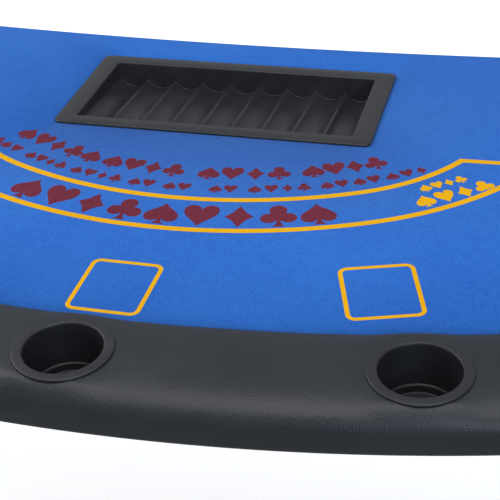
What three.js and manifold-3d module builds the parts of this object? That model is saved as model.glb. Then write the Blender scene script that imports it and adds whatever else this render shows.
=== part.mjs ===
// Folding blackjack table: a bow-fronted top with a cloth playing surface, a
// padded arm rail with drop-in cup holders, a drop-in chip tray on the dealer's
// side, and two steel leg frames that fold flat under the top.
// Millimetres, +Z up, origin on the floor under the middle of the table's box.
// +X runs along the table and +Y points to the dealer.
import * as THREE from 'three';
import { mergeVertices } from 'three/addons/utils/BufferGeometryUtils.js';
import Module from 'manifold-3d';

const wasm = await Module();
wasm.setup();

// ---- driving dimensions ----
const gap = 0.3; // air between pieces that touch
const halfWidth = 915;
const halfDepth = 436;
const frontRadius = 1810; // the players' edge
const cornerRadius = 360;
const dealerRadius = 5770; // the dealer's edge curves in
const dealerMiddleY = 358;
const clothTopZ = 746;
const clothThickness = 1.6;
const underlayThickness = 2.8;
const boardThickness = 18;
const railWidth = 130;
const railCrown = 14; // rail above the cloth
const railDrop = 34; // rail below the cloth, outside
const railSideFoam = 12;
const railEndFoam = 10;
const railBaseWidth = 108;
const railBaseThickness = 9;
const boltSpacing = 169;
const bolt = { head: 6.5, headHeight: 4, shank: 3, hole: 3.6, short: 6 };

const cupCount = 7;
const cupSpacing = 338;
const cupShift = -5.5; // the row of cups sits a little left of the table's middle
const cupInset = 64; // cup centre from the rail's outer edge
const cup = { flange: 50, radius: 41, wall: 2, depth: 56, flangeThickness: 1.7 };
const cupRoom = { pad: 1, board: 1.5 }; // how much wider the holes are than the cup

const trayY = 189;
const tray = { width: 414, depth: 202, corner: 9, flange: 2.7, wall: 2.5 };
const well = { width: 362, depth: 160, corner: 3, room: 4, crestFront: -5, crestBack: -19 };
const channel = { count: 9, pitch: 40.2, radius: 22 };

const hinge = { x: 715, z: 684 };
const tube = { radius: 12.5, wall: 1.5 };
const bar = { radius: 10, wall: 1.5 };
const uprightY = { front: -170, rear: 310 };
const bracketY = { front: -65, rear: 265 };
const foot = { radius: 16, height: 36, floor: 10, taper: 1, socketGap: 0.5 };
const legBoard = { x0: 650, x1: 750, y0: -95, y1: 295, thickness: 14.7 };

// The folding brace: one pivot stands in from the leg and one below the top, by the same offset.
const brace = { offset: 24, onLeg: 300, onTop: 380, width: 16, thickness: 4, y: 70 };
const pin = { radius: 4, head: 7, headHeight: 2.4, hole: 4.4 };
const plateThickness = 3;
const hingePlate = { halfLength: 31, halfWidth: 20, ear: 19, earRise: 4, screwReach: 24, bore: 13.2 };
const bracePlate = { halfLength: 22, halfWidth: 23, ear: 9, earRise: 4, screwReach: 16 };
const lug = { radius: 9, thickness: 4 };
const tubeOverhang = 20; // hinge tube past the uprights
const screw = { head: 4.5, headHeight: 2.7, shank: 2.4, hole: 2.8, bite: 10 };

// ---- how finely round things are divided ----
const cupSides = 24;
const tubeSides = 18;
const pinSides = 12;
const smallSides = 8;
const troughSides = 24;

// ---- worked out from them ----
const boardTopZ = clothTopZ - clothThickness - underlayThickness - 2 * gap;
const boardZ = boardTopZ - boardThickness;
const underBoardZ = boardZ - gap;
const front = new THREE.Vector2(0, frontRadius - halfDepth);
const cornerX = halfWidth - cornerRadius;
const cornerReach = frontRadius - cornerRadius;
const corner = new THREE.Vector2(cornerX, front.y - Math.sqrt(cornerReach ** 2 - cornerX ** 2));
const turn = Math.asin(cornerX / cornerReach); // where the front arc meets the corner arc
const innerX = halfWidth - railWidth;
const tall = 2000; // longer than anything here
const braceMiddleY = brace.y - brace.thickness / 2;

// ---- materials ----
const finishes = {
  cloth: { color: 0x366ec5, roughness: 0.95, metalness: 0 },
  foam: { color: 0xd9d3bd, roughness: 0.95, metalness: 0 },
  board: { color: 0xb08d62, roughness: 0.7, metalness: 0 },
  leatherette: { color: 0x33363a, roughness: 0.5, metalness: 0 },
  plastic: { color: 0x2c2c30, roughness: 0.45, metalness: 0 },
  blackSteel: { color: 0x26272a, roughness: 0.4, metalness: 0.6 },
  zinc: { color: 0xb9bcc0, roughness: 0.35, metalness: 0.9 },
  rubber: { color: 0x1c1c1e, roughness: 0.85, metalness: 0 },
};

const table = new THREE.Group();

function add(name, finish, geometry) {
  const mesh = new THREE.Mesh(geometry, new THREE.MeshStandardMaterial(finishes[finish]));
  mesh.name = name;
  table.add(mesh);
}

// ---- booleans ----
function solid(geometry) {
  const bare = geometry.clone();
  bare.deleteAttribute('normal');
  bare.deleteAttribute('uv');
  const merged = mergeVertices(bare, 1e-3);
  const vertProperties = new Float32Array(merged.attributes.position.array);
  const triVerts = new Uint32Array(merged.index.array);
  return new wasm.Manifold(new wasm.Mesh({ numProp: 3, vertProperties, triVerts }));
}

function geometryOf(body) {
  const mesh = body.getMesh();
  const geometry = new THREE.BufferGeometry();
  geometry.setAttribute('position', new THREE.BufferAttribute(mesh.vertProperties, 3));
  geometry.setIndex(new THREE.BufferAttribute(mesh.triVerts, 1));
  geometry.computeVertexNormals();
  return geometry;
}

const joined = (pieces) => pieces.reduce((whole, piece) => whole.add(piece));
const cut = (body, tools) => tools.reduce((left, tool) => left.subtract(tool), body);

// ---- simple solids ----
function plate(shape, bottom, top) {
  const options = { depth: top - bottom, bevelEnabled: false, curveSegments: 5 };
  const geometry = new THREE.ExtrudeGeometry(shape, options);
  geometry.translate(0, 0, bottom);
  return solid(geometry);
}

function box(x0, x1, y0, y1, z0, z1) {
  const geometry = new THREE.BoxGeometry(x1 - x0, y1 - y0, z1 - z0);
  geometry.translate((x0 + x1) / 2, (y0 + y1) / 2, (z0 + z1) / 2);
  return solid(geometry);
}

function upright(x, y, z0, z1, radius, sides = tubeSides) {
  const geometry = new THREE.CylinderGeometry(radius, radius, z1 - z0, sides);
  geometry.rotateX(Math.PI / 2);
  geometry.translate(x, y, (z0 + z1) / 2);
  return solid(geometry);
}

function crosswise(x, z, y0, y1, radius, sides = tubeSides) {
  const geometry = new THREE.CylinderGeometry(radius, radius, y1 - y0, sides);
  geometry.translate(x, (y0 + y1) / 2, z);
  return solid(geometry);
}

// A flat bar with round ends, lying in a vertical plane between y0 and y1.
function strap(from, to, radius, y0, y1) {
  const along = Math.atan2(to.y - from.y, to.x - from.x);
  const shape = new THREE.Shape();
  shape.absarc(to.x, to.y, radius, along - Math.PI / 2, along + Math.PI / 2);
  shape.absarc(from.x, from.y, radius, along + Math.PI / 2, along + 1.5 * Math.PI);
  const geometry = new THREE.ExtrudeGeometry(shape, { depth: y1 - y0, bevelEnabled: false, curveSegments: 5 });
  geometry.rotateX(Math.PI / 2);
  geometry.translate(0, y1, 0);
  return solid(geometry);
}

function turned(profile, x, y, sides) {
  const geometry = new THREE.LatheGeometry(profile.map(([r, z]) => new THREE.Vector2(r, z)), sides);
  geometry.rotateX(Math.PI / 2);
  geometry.translate(x, y, 0);
  return solid(geometry);
}

function roundedRectangle(width, depth, radius, y) {
  const shape = new THREE.Shape();
  const x = width / 2 - radius;
  const reach = depth / 2 - radius;
  shape.absarc(x, y + reach, radius, 0, Math.PI / 2);
  shape.absarc(-x, y + reach, radius, Math.PI / 2, Math.PI);
  shape.absarc(-x, y - reach, radius, Math.PI, 1.5 * Math.PI);
  shape.absarc(x, y - reach, radius, 1.5 * Math.PI, 2 * Math.PI);
  return shape;
}

// ---- the table's outline ----
// A point on the curved front, set in from the rail's outer edge. The angle is
// 0 at the middle of the front and a quarter turn where the straight side starts.
function frontPoint(angle, inset) {
  const inCorner = Math.abs(angle) > turn;
  const radius = (inCorner ? cornerRadius : frontRadius) - inset;
  const x = (inCorner ? Math.sign(angle) * corner.x : 0) + radius * Math.sin(angle);
  const y = (inCorner ? corner.y : front.y) - radius * Math.cos(angle);
  return new THREE.Vector2(x, y);
}

function frontAngles() {
  const frontSteps = 22;
  const cornerSteps = 10;
  const angles = [];
  for (let i = 0; i < cornerSteps; i++) {
    angles.push(-Math.PI / 2 + ((Math.PI / 2 - turn) * i) / cornerSteps);
  }
  for (let i = 0; i < frontSteps; i++) {
    angles.push(-turn + (2 * turn * i) / frontSteps);
  }
  for (let i = 0; i <= cornerSteps; i++) {
    angles.push(turn + ((Math.PI / 2 - turn) * i) / cornerSteps);
  }
  return angles;
}

const dealerY = (x) => dealerMiddleY + dealerRadius - Math.sqrt(dealerRadius ** 2 - x ** 2);

// Along the dealer's edge from right to left.
function dealerPoints(reach, shift) {
  const steps = 12;
  const points = [];
  for (let i = 0; i <= steps; i++) {
    const x = reach * (1 - (2 * i) / steps);
    points.push(new THREE.Vector2(x, dealerY(x) + shift));
  }
  return points;
}

// The whole top, with square rail ends past the cloth.
function topOutline(inset, endY) {
  const side = halfWidth - inset;
  const edge = [new THREE.Vector2(side, endY), new THREE.Vector2(innerX, endY)];
  edge.push(...dealerPoints(innerX, 0));
  edge.push(new THREE.Vector2(-innerX, endY), new THREE.Vector2(-side, endY));
  return new THREE.Shape([...frontAngles().map((angle) => frontPoint(angle, inset)), ...edge]);
}

// The cloth's outline, inside the rail.
function clothOutline(inset, shift) {
  const edge = dealerPoints(halfWidth - inset, shift);
  return new THREE.Shape([...frontAngles().map((angle) => frontPoint(angle, inset)), ...edge]);
}

// Everything inside the rail, running out past the dealer's edge.
function innerOutline(inset) {
  const side = halfWidth - inset;
  const edge = [new THREE.Vector2(side, tall), new THREE.Vector2(-side, tall)];
  return new THREE.Shape([...frontAngles().map((angle) => frontPoint(angle, inset)), ...edge]);
}

// A place along the rail, measured on the line through the cups from the middle.
function railPlace(distance) {
  const frontLength = turn * (frontRadius - cupInset);
  const past = Math.max(0, Math.abs(distance) - frontLength);
  const onFront = (Math.abs(distance) - past) / (frontRadius - cupInset);
  const angle = onFront + past / (cornerRadius - cupInset);
  return frontPoint(Math.sign(distance) * angle, cupInset);
}

const cupPlaces = [];
for (let i = 0; i < cupCount; i++) {
  cupPlaces.push(railPlace((i - (cupCount - 1) / 2) * cupSpacing + cupShift));
}
const boltPlaces = [-3, -1, 1, 3].map((step) => railPlace(step * boltSpacing));

function cupHoles(radius) {
  return cupPlaces.map((place) => upright(place.x, place.y, 0, tall, radius, cupSides));
}

function boltHoles(bottom, top) {
  return boltPlaces.map((place) => upright(place.x, place.y, bottom, top, bolt.hole, smallSides));
}

function trayHole() {
  const { width, depth, room } = well;
  return plate(roundedRectangle(width + 2 * room, depth + 2 * room, room, trayY), 0, tall);
}

// ---- the top ----
const boltTopZ = boardTopZ - bolt.short;
const railBaseZ = underBoardZ - railBaseThickness;
const endY = halfDepth - railEndFoam - gap;

const boardCuts = [...cupHoles(cup.radius + cupRoom.board), ...boltHoles(0, boltTopZ + 1), trayHole()];
for (const side of [-1, 1]) {
  const x = side * (hinge.x - brace.onTop);
  for (const reach of [-bracePlate.screwReach, bracePlate.screwReach]) {
    boardCuts.push(upright(x, braceMiddleY + reach, 0, boardZ + screw.bite + 1, screw.hole, smallSides));
  }
}
add('table_board', 'board', geometryOf(cut(plate(topOutline(railSideFoam, endY), boardZ, boardTopZ), boardCuts)));

const railBase = plate(topOutline(railSideFoam, endY), railBaseZ, underBoardZ);
const railBaseCuts = [plate(innerOutline(railSideFoam + railBaseWidth), 0, tall)];
railBaseCuts.push(...cupHoles(cup.radius + cupRoom.board), ...boltHoles(0, tall));
add('rail_base', 'board', geometryOf(cut(railBase, railBaseCuts)));

const underlayBottom = boardTopZ + gap;
const underlay = plate(clothOutline(railWidth + gap, 0), underlayBottom, underlayBottom + underlayThickness);
add('foam_underlay', 'foam', geometryOf(cut(underlay, [trayHole()])));

// The cloth lies on the underlay and turns down over the dealer's edge.
const clothBottom = clothTopZ - clothThickness;
const clothBlock = plate(clothOutline(railWidth + gap, gap + clothThickness), boardZ, clothTopZ);
const pastSides = 20;
const underCloth = plate(clothOutline(railWidth - pastSides, gap), 0, clothBottom);
add('felt_layout', 'cloth', geometryOf(cut(clothBlock, [underCloth, trayHole()])));

// ---- the padded rail ----
// Its section, as distance in from the outer edge and height: up from the cloth over
// the crown, around the shoulder and down the outer face.
function railSection(innerFoot, outerFoot) {
  const crownZ = clothTopZ + railCrown;
  const shoulderZ = clothTopZ - 8;
  const bottomZ = clothTopZ - railDrop;
  const path = new THREE.Path();
  path.moveTo(railWidth, innerFoot);
  path.lineTo(railWidth, clothTopZ + 3);
  path.bezierCurveTo(railWidth - 6, crownZ, railWidth - 38, crownZ, railWidth / 2, crownZ);
  path.bezierCurveTo(28, crownZ, 0, crownZ - 4, 0, shoulderZ);
  path.lineTo(0, bottomZ + 8);
  path.bezierCurveTo(0, bottomZ + 3, 3, bottomZ, outerFoot, bottomZ);
  return path.getPoints(4);
}

// Sweeps a closed section along stations, each a function from inset to a plan position.
function swept(outline, stations) {
  const section = THREE.ShapeUtils.isClockWise(outline) ? outline.toReversed() : outline;
  const positions = [];
  const indices = [];
  const count = section.length;
  for (const station of stations) {
    for (const point of section) {
      const place = station(point.x);
      positions.push(place.x, place.y, point.y);
    }
  }
  for (let i = 0; i + 1 < stations.length; i++) {
    for (let j = 0; j < count; j++) {
      const a = i * count + j;
      const b = i * count + ((j + 1) % count);
      indices.push(a, b + count, b, a, a + count, b + count);
    }
  }
  const last = (stations.length - 1) * count;
  for (const [a, b, c] of THREE.ShapeUtils.triangulateShape(section, [])) {
    indices.push(a, b, c, last + a, last + c, last + b);
  }
  const geometry = new THREE.BufferGeometry();
  geometry.setAttribute('position', new THREE.Float32BufferAttribute(positions, 3));
  geometry.setIndex(indices);
  const body = solid(geometry);
  if (body.volume() > 0) return body;
  geometry.setIndex(indices.reverse());
  return solid(geometry);
}

const sideStation = (side, y) => (inset) => new THREE.Vector2(side * (halfWidth - inset), y);
const curved = frontAngles().map((angle) => (inset) => frontPoint(angle, inset));
const railStations = [sideStation(-1, halfDepth), ...curved, sideStation(1, halfDepth)];

const hollow = railSideFoam - gap;
const sleeve = railSection(boardTopZ + gap, hollow);
sleeve.push(new THREE.Vector2(hollow, boardTopZ + gap));
const capSection = railSection(clothTopZ - railDrop, railSideFoam);
const railEnds = [-1, 1].map((side) => {
  const stations = [sideStation(side, halfDepth - railEndFoam), sideStation(side, halfDepth)];
  return swept(capSection, stations);
});
const railBody = joined([swept(sleeve, railStations), ...railEnds]);
add('rail_pad', 'leatherette', geometryOf(cut(railBody, cupHoles(cup.radius + cupRoom.pad))));

// ---- the cup holders ----
const cupTopZ = clothTopZ + railCrown + gap + cup.flangeThickness;
const cupBottomZ = cupTopZ - cup.depth - cup.wall;
const cupInner = cup.radius - cup.wall;
const cupProfile = [
  [0, cupBottomZ],
  [cup.radius, cupBottomZ],
  [cup.radius, cupTopZ - cup.flangeThickness],
  [cup.flange, cupTopZ - cup.flangeThickness],
  [cup.flange, cupTopZ],
  [cupInner, cupTopZ],
  [cupInner, cupBottomZ + cup.wall],
  [0, cupBottomZ + cup.wall],
];
cupPlaces.forEach((place, i) => {
  add(`cup_holder_${i + 1}`, 'plastic', geometryOf(turned(cupProfile, place.x, place.y, cupSides)));
});

// ---- the chip tray ----
// Round-bottomed channels run from the dealer's side, where they are deep, up to the players' side.
const slope = Math.atan((well.crestFront - well.crestBack) / well.depth);
const crestZ = clothTopZ + (well.crestFront + well.crestBack) / 2;

function channels(extra) {
  const rise = Math.sqrt(channel.radius ** 2 - (channel.pitch / 2) ** 2);
  const length = well.depth * 1.5;
  const roofHeight = 80;
  const roof = new THREE.BoxGeometry(well.width + 2 * extra, length, roofHeight);
  roof.translate(0, 0, roofHeight / 2 - extra);
  const pieces = [roof];
  for (let i = 0; i < channel.count; i++) {
    const trough = new THREE.CylinderGeometry(channel.radius + extra, channel.radius + extra, length, troughSides);
    trough.translate((i - (channel.count - 1) / 2) * channel.pitch, 0, rise);
    pieces.push(trough);
  }
  const solids = pieces.map((piece) => solid(piece.rotateX(-slope).translate(0, trayY, crestZ)));
  const { width, depth, corner: round } = well;
  const column = roundedRectangle(width + 2 * extra, depth + 2 * extra, round + extra, trayY);
  return joined(solids).intersect(plate(column, clothTopZ - roofHeight, clothTopZ + roofHeight / 2));
}

const flangeBottom = clothTopZ + gap;
const flangeOutline = roundedRectangle(tray.width, tray.depth, tray.corner, trayY);
const flangePlate = plate(flangeOutline, flangeBottom, flangeBottom + tray.flange);
const trayShell = channels(tray.wall).intersect(box(-tray.width, tray.width, 0, tall, 0, flangeBottom + 1));
add('chip_tray', 'plastic', geometryOf(cut(flangePlate.add(trayShell), [channels(0)])));

// ---- the legs ----
function tubeAcross(x, z, y0, y1, size) {
  return cut(crosswise(x, z, y0, y1, size.radius), [crosswise(x, z, y0 - 1, y1 + 1, size.radius - size.wall)]);
}

function screwAt(name, x, y, seat, top) {
  const profile = [
    [0, seat - screw.headHeight],
    [screw.head, seat - screw.headHeight],
    [screw.head, seat],
    [screw.shank, seat],
    [screw.shank, top],
    [0, top],
  ];
  add(name, 'zinc', geometryOf(turned(profile, x, y, smallSides)));
}

const underLegBoard = underBoardZ - legBoard.thickness;
const hingeSeatZ = underLegBoard - gap;

function hingeBracket(x, y) {
  const { halfLength, halfWidth: half, ear, earRise, screwReach, bore } = hingePlate;
  const base = box(x - halfLength, x + halfLength, y - half, y + half, hingeSeatZ - plateThickness, hingeSeatZ);
  const low = new THREE.Vector2(x, hinge.z);
  const high = new THREE.Vector2(x, hinge.z + earRise);
  const starts = [y - half, y + half - plateThickness];
  const ears = starts.map((start) => strap(low, high, ear, start, start + plateThickness));
  const holes = [crosswise(x, hinge.z, y - 2 * half, y + 2 * half, bore)];
  for (const reach of [-screwReach, screwReach]) {
    holes.push(upright(x + reach, y, 0, tall, screw.hole, smallSides));
  }
  return cut(joined([base, ...ears]), holes);
}

const braceBracketFace = braceMiddleY - brace.thickness / 2 - 3 * gap - plateThickness;

function braceBracket(x) {
  const { halfLength, halfWidth: half, ear, earRise, screwReach } = bracePlate;
  const pivotZ = hinge.z + brace.offset;
  const middle = braceMiddleY;
  const baseZ = underBoardZ - plateThickness;
  const base = box(x - halfLength, x + halfLength, middle - half, middle + half, baseZ, underBoardZ);
  const low = new THREE.Vector2(x, pivotZ);
  const high = new THREE.Vector2(x, pivotZ + earRise);
  const starts = [braceBracketFace, middle + brace.thickness / 2 + 2 * gap];
  const ears = starts.map((start) => strap(low, high, ear, start, start + plateThickness));
  const holes = [crosswise(x, pivotZ, middle - half, middle + half, pin.hole, pinSides)];
  for (const reach of [-screwReach, screwReach]) {
    holes.push(upright(x, middle + reach, 0, tall, screw.hole, smallSides));
  }
  return cut(joined([base, ...ears]), holes);
}

function pinAcross(x, z, y0, y1, headAt) {
  const shank = crosswise(x, z, y0, y1, pin.radius, pinSides);
  return shank.add(crosswise(x, z, headAt, headAt + pin.headHeight, pin.head, pinSides));
}

function leg(side, word) {
  const x = side * hinge.x;
  const { front: frontY, rear: rearY } = uprightY;

  // the board that the hinges are screwed to
  const seat = legBoard;
  const [x0, x1] = side > 0 ? [seat.x0, seat.x1] : [-seat.x1, -seat.x0];
  const board = box(x0, x1, seat.y0, seat.y1, underLegBoard, underBoardZ);
  const boardHoles = [];
  for (const [end, y] of Object.entries(bracketY)) {
    add(`hinge_bracket_${word}_${end}`, 'blackSteel', geometryOf(hingeBracket(x, y)));
    [-hingePlate.screwReach, hingePlate.screwReach].forEach((reach, i) => {
      const name = `hinge_screw_${word}_${end}_${i + 1}`;
      screwAt(name, x + reach, y, hingeSeatZ - plateThickness - gap, underLegBoard + screw.bite);
      boardHoles.push(upright(x + reach, y, 0, underLegBoard + screw.bite + 1, screw.hole, smallSides));
    });
  }
  add(`leg_board_${word}`, 'board', geometryOf(cut(board, boardHoles)));

  // the leg frame
  const hingeTube = tubeAcross(x, hinge.z, frontY - tubeOverhang, rearY + tubeOverhang, tube);
  add(`hinge_tube_${word}`, 'blackSteel', geometryOf(hingeTube));
  const aroundHinge = crosswise(x, hinge.z, 2 * frontY, 2 * rearY, tube.radius + gap);
  for (const [end, y] of Object.entries(uprightY)) {
    const outer = upright(x, y, foot.floor, hinge.z, tube.radius);
    const bore = upright(x, y, 0, tall, tube.radius - tube.wall);
    add(`leg_tube_${word}_${end}`, 'blackSteel', geometryOf(cut(outer, [bore, aroundHinge])));
    const socket = tube.radius + foot.socketGap;
    const footProfile = [
      [0, 0],
      [foot.radius, 0],
      [foot.radius - foot.taper, foot.height],
      [socket, foot.height],
      [socket, foot.floor - gap],
      [0, foot.floor - gap],
    ];
    add(`foot_${word}_${end}`, 'rubber', geometryOf(turned(footProfile, x, y, tubeSides)));
  }

  // the crossbar and the lug that the brace is pinned to
  const barZ = hinge.z - brace.onLeg;
  const lugX = x - side * brace.offset;
  const lugStart = brace.y + brace.thickness + 2 * gap;
  const lugEnd = lugStart + lug.thickness;
  const lugPlate = strap(new THREE.Vector2(x, barZ), new THREE.Vector2(lugX, barZ), lug.radius, lugStart, lugEnd);
  const posts = [frontY, rearY].map((y) => upright(x, y, 0, tall, tube.radius + gap));
  const crossbar = cut(tubeAcross(x, barZ, frontY, rearY, bar).add(lugPlate), posts);
  const pinHole = (place) => crosswise(place.x, place.y, 0, 2 * lugEnd, pin.hole, pinSides);
  const legPivot = new THREE.Vector2(lugX, barZ);
  add(`crossbar_${word}`, 'blackSteel', geometryOf(cut(crossbar, [pinHole(legPivot)])));

  // the folding brace, two flat bars side by side that lie in line when the leg is down
  const topPivot = new THREE.Vector2(side * (hinge.x - brace.onTop), hinge.z + brace.offset);
  const span = topPivot.distanceTo(legPivot);
  const upperLength = (span + brace.onTop - brace.onLeg) / 2;
  const elbow = topPivot.clone().lerp(legPivot, upperLength / span);
  const upperY = brace.y - brace.thickness - gap / 2;
  const lowerY = brace.y + gap / 2;
  const upper = strap(topPivot, elbow, brace.width / 2, upperY, upperY + brace.thickness);
  const lower = strap(elbow, legPivot, brace.width / 2, lowerY, lowerY + brace.thickness);
  add(`upper_brace_${word}`, 'zinc', geometryOf(cut(upper, [pinHole(topPivot), pinHole(elbow)])));
  add(`lower_brace_${word}`, 'zinc', geometryOf(cut(lower, [pinHole(legPivot)])));
  add(`brace_bracket_${word}`, 'blackSteel', geometryOf(braceBracket(topPivot.x)));
  [-bracePlate.screwReach, bracePlate.screwReach].forEach((reach, i) => {
    const seat = underBoardZ - plateThickness - gap;
    screwAt(`brace_screw_${word}_${i + 1}`, topPivot.x, braceMiddleY + reach, seat, boardZ + screw.bite);
  });

  const topFace = braceBracketFace - gap;
  const topPinEnd = brace.y + plateThickness * 2;
  const topPin = pinAcross(topPivot.x, topPivot.y, topFace, topPinEnd, topFace - pin.headHeight);
  add(`brace_pin_${word}`, 'zinc', geometryOf(topPin));
  const elbowFace = upperY - gap;
  const elbowEnd = upperY + brace.thickness;
  const elbowRivet = pinAcross(elbow.x, elbow.y, elbowFace, elbowEnd, elbowFace - pin.headHeight);
  add(`elbow_rivet_${word}`, 'zinc', geometryOf(elbowRivet));
  const lugFace = lugEnd + gap;
  add(`lug_pin_${word}`, 'zinc', geometryOf(pinAcross(legPivot.x, legPivot.y, lowerY, lugFace, lugFace)));
}

leg(-1, 'left');
leg(1, 'right');

// ---- the bolts that hold the rail's base to the top ----
boltPlaces.forEach((place, i) => {
  const seat = railBaseZ - gap;
  const head = upright(place.x, place.y, seat - bolt.headHeight, seat, bolt.head, 6);
  const shank = upright(place.x, place.y, seat - 1, boltTopZ, bolt.shank, smallSides);
  add(`rail_bolt_${i + 1}`, 'zinc', geometryOf(head.add(shank)));
});

export default table;
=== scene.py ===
import math

import bmesh
import bpy
from mathutils import Matrix, Vector, noise


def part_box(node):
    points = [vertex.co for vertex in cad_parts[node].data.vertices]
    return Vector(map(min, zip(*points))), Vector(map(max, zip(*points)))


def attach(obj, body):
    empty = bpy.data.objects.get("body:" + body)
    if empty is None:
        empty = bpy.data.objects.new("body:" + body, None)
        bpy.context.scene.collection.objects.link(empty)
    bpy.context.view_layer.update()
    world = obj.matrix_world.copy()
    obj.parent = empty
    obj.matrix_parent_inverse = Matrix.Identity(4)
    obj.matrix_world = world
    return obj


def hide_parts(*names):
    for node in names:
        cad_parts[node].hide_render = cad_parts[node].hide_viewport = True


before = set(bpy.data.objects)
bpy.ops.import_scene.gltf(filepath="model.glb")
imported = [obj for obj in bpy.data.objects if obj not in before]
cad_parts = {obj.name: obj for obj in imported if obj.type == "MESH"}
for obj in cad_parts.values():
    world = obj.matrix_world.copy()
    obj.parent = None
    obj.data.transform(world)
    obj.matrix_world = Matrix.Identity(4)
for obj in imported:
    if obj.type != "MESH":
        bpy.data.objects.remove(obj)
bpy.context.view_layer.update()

mm = 0.001
top = "table_top"
scene = bpy.context.scene


# camera
# Looks down from in front of the players' side, a little to the right of the tray.
view = {"place": (0.4455, -1.2296, 1.4853), "yaw": -16.81, "pitch": 33.37, "roll": 3.63, "lens": 90.3, "sensor": 36.0}


def makeCamera(size):
    yaw, pitch, roll = (math.radians(size[key]) for key in ("yaw", "pitch", "roll"))
    ahead = Vector((math.sin(yaw) * math.cos(pitch), math.cos(yaw) * math.cos(pitch), -math.sin(pitch)))
    level = Vector((math.cos(yaw), -math.sin(yaw), 0))
    down = ahead.cross(level)
    right = level * math.cos(roll) + down * math.sin(roll)
    up = level * math.sin(roll) - down * math.cos(roll)
    data = bpy.data.cameras.new("camera")
    data.sensor_width = size["sensor"]
    data.lens = size["lens"]
    camera = bpy.data.objects.new("camera", data)
    turn = Matrix((right, up, -ahead)).transposed()
    camera.matrix_world = Matrix.Translation(size["place"]) @ turn.to_4x4()
    scene.collection.objects.link(camera)
    scene.camera = camera


makeCamera(view)


# the table's plan, from the frame
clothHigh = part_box("felt_layout")[1]
railLow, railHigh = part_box("rail_pad")
boardLow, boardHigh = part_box("table_board")
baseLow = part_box("rail_base")[0]
trayLow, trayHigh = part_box("chip_tray")
clothTop = clothHigh[2]
trayY = (trayLow[1] + trayHigh[1]) / 2
plan = {"frontRadius": 1.810, "cornerRadius": 0.360, "railWidth": 0.130, "dealerRadius": 5.770}
plan["halfWidth"] = railHigh[0]
plan["halfDepth"] = railHigh[1]
plan["frontY"] = plan["frontRadius"] - plan["halfDepth"]
plan["cornerX"] = plan["halfWidth"] - plan["cornerRadius"]
plan["reach"] = plan["frontRadius"] - plan["cornerRadius"]
plan["cornerY"] = plan["frontY"] - math.sqrt(plan["reach"] ** 2 - plan["cornerX"] ** 2)
plan["turn"] = math.asin(plan["cornerX"] / plan["reach"])
plan["dealerMiddle"] = trayY + 0.169


def frontPoint(angle, inset):
    # 0 is the middle of the front; a quarter turn is where the straight side starts
    inCorner = abs(angle) > plan["turn"]
    radius = plan["cornerRadius" if inCorner else "frontRadius"] - inset
    centreX = math.copysign(plan["cornerX"], angle) if inCorner else 0
    centreY = plan["cornerY"] if inCorner else plan["frontY"]
    return Vector((centreX + radius * math.sin(angle), centreY - radius * math.cos(angle)))


def dealerY(x):
    return plan["dealerMiddle"] + plan["dealerRadius"] - math.sqrt(plan["dealerRadius"] ** 2 - x * x)


def frontAngles(step):
    # angles all round the front and corners, about step apart along the outer edge
    angles = []
    spans = ((-math.pi / 2, -plan["turn"], "cornerRadius"), (-plan["turn"], plan["turn"], "frontRadius"))
    spans += ((plan["turn"], math.pi / 2, "cornerRadius"),)
    for start, end, radius in spans:
        count = max(1, round((end - start) * plan[radius] / step))
        angles += [start + (end - start) * i / count for i in range(count)]
    return angles + [math.pi / 2]


# mesh helpers
def cubic(a, b, c, d, count):
    points = []
    for i in range(count):
        t = i / count
        s = 1 - t
        points.append(Vector(a) * s ** 3 + Vector(b) * 3 * s * s * t + Vector(c) * 3 * s * t * t + Vector(d) * t ** 3)
    return points


def arc(centre, radius, start, end, count):
    points = []
    for i in range(count + 1):
        angle = math.radians(start + (end - start) * i / count)
        points.append(Vector((centre[0] + radius * math.cos(angle), centre[1] + radius * math.sin(angle))))
    return points


def addObject(name, data):
    piece = bpy.data.objects.new(name, data)
    scene.collection.objects.link(piece)
    return piece


def fromMesh(name, mesh):
    # puts a finished bmesh into the scene
    data = bpy.data.meshes.new(name)
    mesh.to_mesh(data)
    mesh.free()
    return addObject(name, data)


def stitch(first, second, closed=True):
    # the faces between two rows of vertices
    count = len(first)
    return [(first[i], first[(i + 1) % count], second[(i + 1) % count], second[i])
            for i in range(count if closed else count - 1)]


def loft(name, rows):
    # a skin through closed rows of points, with both ends filled
    count = len(rows[0])
    rings = [list(range(i * count, (i + 1) * count)) for i in range(len(rows))]
    faces = [face for first, second in zip(rings, rings[1:]) for face in stitch(first, second)]
    faces += [tuple(rings[0]), tuple(reversed(rings[-1]))]
    return makePiece(name, [point for row in rows for point in row], faces)


def makePiece(name, vertices, faces, sharpAngle=35):
    mesh = bpy.data.meshes.new(name)
    mesh.from_pydata([tuple(v) for v in vertices], [], faces)
    mesh.validate()
    piece = addObject(name, mesh)
    smooth(piece, sharpAngle)
    return piece


def smooth(piece, sharpAngle=35):
    piece.data.shade_smooth()
    piece.data.set_sharp_from_angle(angle=math.radians(sharpAngle))


def recalculate(piece):
    mesh = bmesh.new()
    mesh.from_mesh(piece.data)
    bmesh.ops.remove_doubles(mesh, verts=mesh.verts, dist=2e-6)
    bmesh.ops.recalc_face_normals(mesh, faces=mesh.faces)
    mesh.to_mesh(piece.data)
    mesh.free()


def faceUp(mesh):
    # turns an open sheet's faces to one side, mostly upward
    bmesh.ops.recalc_face_normals(mesh, faces=mesh.faces)
    if sum(f.normal.z * f.calc_area() for f in mesh.faces) < 0:
        bmesh.ops.reverse_faces(mesh, faces=mesh.faces)


def bake(piece):
    # turns a curve, or a mesh with modifiers, into a plain mesh with its place in it
    graph = bpy.context.evaluated_depsgraph_get()
    mesh = bpy.data.meshes.new_from_object(piece.evaluated_get(graph), depsgraph=graph)
    mesh.transform(piece.matrix_world)
    name = piece.name
    bpy.data.objects.remove(piece)
    mesh.name = name
    return addObject(name, mesh)


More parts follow.
